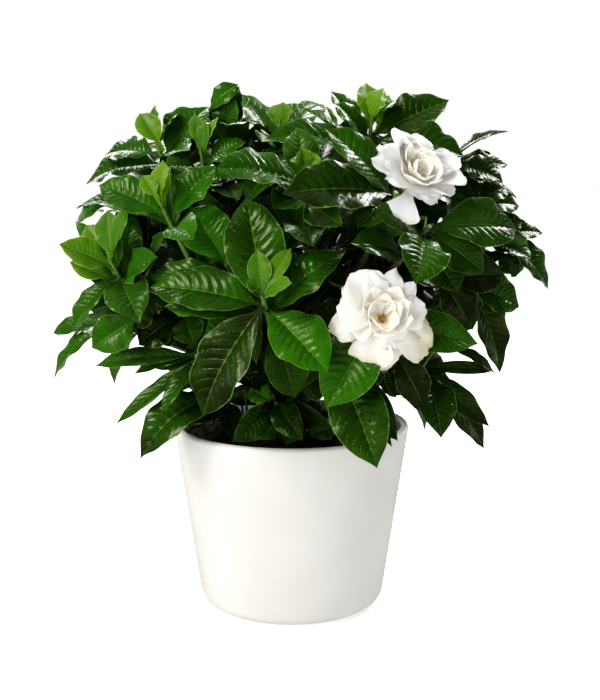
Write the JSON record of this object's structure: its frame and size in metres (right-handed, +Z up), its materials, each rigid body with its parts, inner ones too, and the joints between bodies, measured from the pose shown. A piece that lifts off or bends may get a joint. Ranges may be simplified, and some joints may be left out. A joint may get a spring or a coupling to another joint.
{
  "type": "potted gardenia",
  "caption": "Round, glossy-leaved gardenia shrub with white double blooms, in a plain tapered white ceramic pot filled with soil",
  "frame": {"origin": "centre of the pot's flat base", "axes": "+Z up, -Y towards the side with the blooms, +X to its right"},
  "size_m": [0.3084, 0.2877, 0.3252],
  "materials": {
    "glaze": "satin off-white glaze",
    "soil": "damp, crumbly potting soil",
    "bark": "thin grey-brown bark",
    "leaf": "glossy, leathery dark green with pressed-in veins",
    "young_leaf": "soft-gloss yellow-green",
    "petal": "waxy white, matt"
  },
  "bodies": {
    "root": {"bloom_front": "petal", "bloom_upper": "petal", "pot": "glaze", "shoot_back_1": "leaf", "shoot_back_10": "leaf", "shoot_back_11": "leaf", "shoot_back_12": "leaf", "shoot_back_13": "leaf", "shoot_back_14": "leaf", "shoot_back_2": "leaf", "shoot_back_3": "leaf", "shoot_back_4": "leaf", "shoot_back_5": "leaf", "shoot_back_6": "leaf", "shoot_back_7": "leaf", "shoot_back_8": "leaf", "shoot_back_9": "leaf", "shoot_centre": "leaf", "shoot_far_left_low": "leaf", "shoot_far_right": "leaf", "shoot_front": "leaf", "shoot_front_bloom_shoot": "leaf", "shoot_inner_left": "leaf", "shoot_left_low": "leaf", "shoot_left_mid": "leaf", "shoot_low_front_right": "leaf", "shoot_low_left": "leaf", "shoot_low_right": "leaf", "shoot_right_low": "leaf", "shoot_right_mid": "leaf", "shoot_right_top": "leaf", "shoot_rim_front": "leaf", "shoot_rim_left": "leaf", "shoot_top_centre": "leaf", "shoot_top_left": "leaf", "shoot_top_middle_left": "leaf", "shoot_top_rear": "leaf", "shoot_top_right": "leaf", "shoot_upper_bloom_shoot": "leaf", "soil": "soil", "woody_stems": "bark", "young_back_1": "young_leaf", "young_back_13": "young_leaf", "young_back_5": "young_leaf", "young_back_9": "young_leaf", "young_centre": "young_leaf", "young_front": "young_leaf", "young_left_low": "young_leaf", "young_left_mid": "young_leaf", "young_top_centre": "young_leaf", "young_top_left": "young_leaf", "young_top_middle_left": "young_leaf", "young_top_right": "young_leaf"}
  },
  "joints": []
}
